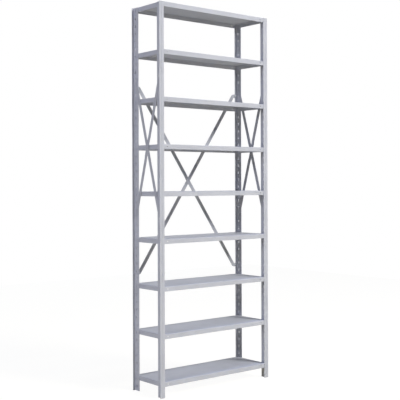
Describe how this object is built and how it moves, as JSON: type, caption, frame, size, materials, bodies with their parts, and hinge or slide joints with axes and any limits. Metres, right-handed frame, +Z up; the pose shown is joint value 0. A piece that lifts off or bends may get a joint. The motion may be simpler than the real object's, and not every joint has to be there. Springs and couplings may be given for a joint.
{
  "type": "library shelving bay",
  "caption": "Free-standing open bay of sheet-steel library shelving: slotted T uprights, tray shelves hung on hooks, crossed strap braces at both ends and the rear.",
  "frame": {"origin": "on the floor, under the middle of the bounding box", "axes": "+Z up, X along the bay, Y through its depth with the front face towards -Y and the rear brace towards +Y"},
  "size_m": [0.936, 0.3062, 2.5],
  "materials": {
    "upright_paint": "light grey powder coat, fine texture, satin",
    "shelf_paint": "light grey powder coat, fine texture, satin",
    "brace_paint": "light grey powder coat on flat strap, satin",
    "fastener_zinc": "bright zinc plate"
  },
  "bodies": {
    "frame": {"upright_front_left": "upright_paint", "upright_front_right": "upright_paint", "upright_rear_left": "upright_paint", "upright_rear_right": "upright_paint", "left_brace_strap_rising": "brace_paint", "left_brace_strap_falling": "brace_paint", "right_brace_strap_rising": "brace_paint", "right_brace_strap_falling": "brace_paint", "rear_brace_strap_rising": "brace_paint", "rear_brace_strap_falling": "brace_paint", "left_brace_bolt_front_low": "fastener_zinc", "left_brace_bolt_front_high": "fastener_zinc", "left_brace_bolt_rear_low": "fastener_zinc", "left_brace_bolt_rear_high": "fastener_zinc", "right_brace_bolt_front_low": "fastener_zinc", "right_brace_bolt_front_high": "fastener_zinc", "right_brace_bolt_rear_low": "fastener_zinc", "right_brace_bolt_rear_high": "fastener_zinc", "rear_brace_bolt_left_low": "fastener_zinc", "rear_brace_bolt_left_high": "fastener_zinc", "rear_brace_bolt_right_low": "fastener_zinc", "rear_brace_bolt_right_high": "fastener_zinc", "left_brace_nut_front_low": "fastener_zinc", "left_brace_nut_front_high": "fastener_zinc", "left_brace_nut_rear_low": "fastener_zinc", "left_brace_nut_rear_high": "fastener_zinc", "right_brace_nut_front_low": "fastener_zinc", "right_brace_nut_front_high": "fastener_zinc", "right_brace_nut_rear_low": "fastener_zinc", "right_brace_nut_rear_high": "fastener_zinc", "rear_brace_nut_left_low": "fastener_zinc", "rear_brace_nut_left_high": "fastener_zinc", "rear_brace_nut_right_low": "fastener_zinc", "rear_brace_nut_right_high": "fastener_zinc"},
    "shelf_1": {"shelf_1": "shelf_paint"},
    "shelf_2": {"shelf_2": "shelf_paint"},
    "shelf_3": {"shelf_3": "shelf_paint"},
    "shelf_4": {"shelf_4": "shelf_paint"},
    "shelf_5": {"shelf_5": "shelf_paint"},
    "shelf_6": {"shelf_6": "shelf_paint"},
    "shelf_7": {"shelf_7": "shelf_paint"},
    "shelf_8": {"shelf_8": "shelf_paint"},
    "shelf_9": {"shelf_9": "shelf_paint"}
  },
  "joints": [
    {"name": "shelf_1_lift", "type": "slide", "parent": "frame", "child": "shelf_1", "axis": [0, 0, 1], "range_m": [0, 0.009]},
    {"name": "shelf_2_lift", "type": "slide", "parent": "frame", "child": "shelf_2", "axis": [0, 0, 1], "range_m": [0, 0.009]},
    {"name": "shelf_3_lift", "type": "slide", "parent": "frame", "child": "shelf_3", "axis": [0, 0, 1], "range_m": [0, 0.009]},
    {"name": "shelf_4_lift", "type": "slide", "parent": "frame", "child": "shelf_4", "axis": [0, 0, 1], "range_m": [0, 0.009]},
    {"name": "shelf_5_lift", "type": "slide", "parent": "frame", "child": "shelf_5", "axis": [0, 0, 1], "range_m": [0, 0.009]},
    {"name": "shelf_6_lift", "type": "slide", "parent": "frame", "child": "shelf_6", "axis": [0, 0, 1], "range_m": [0, 0.009]},
    {"name": "shelf_7_lift", "type": "slide", "parent": "frame", "child": "shelf_7", "axis": [0, 0, 1], "range_m": [0, 0.009]},
    {"name": "shelf_8_lift", "type": "slide", "parent": "frame", "child": "shelf_8", "axis": [0, 0, 1], "range_m": [0, 0.009]},
    {"name": "shelf_9_lift", "type": "slide", "parent": "frame", "child": "shelf_9", "axis": [0, 0, 1], "range_m": [0, 0.009]}
  ]
}
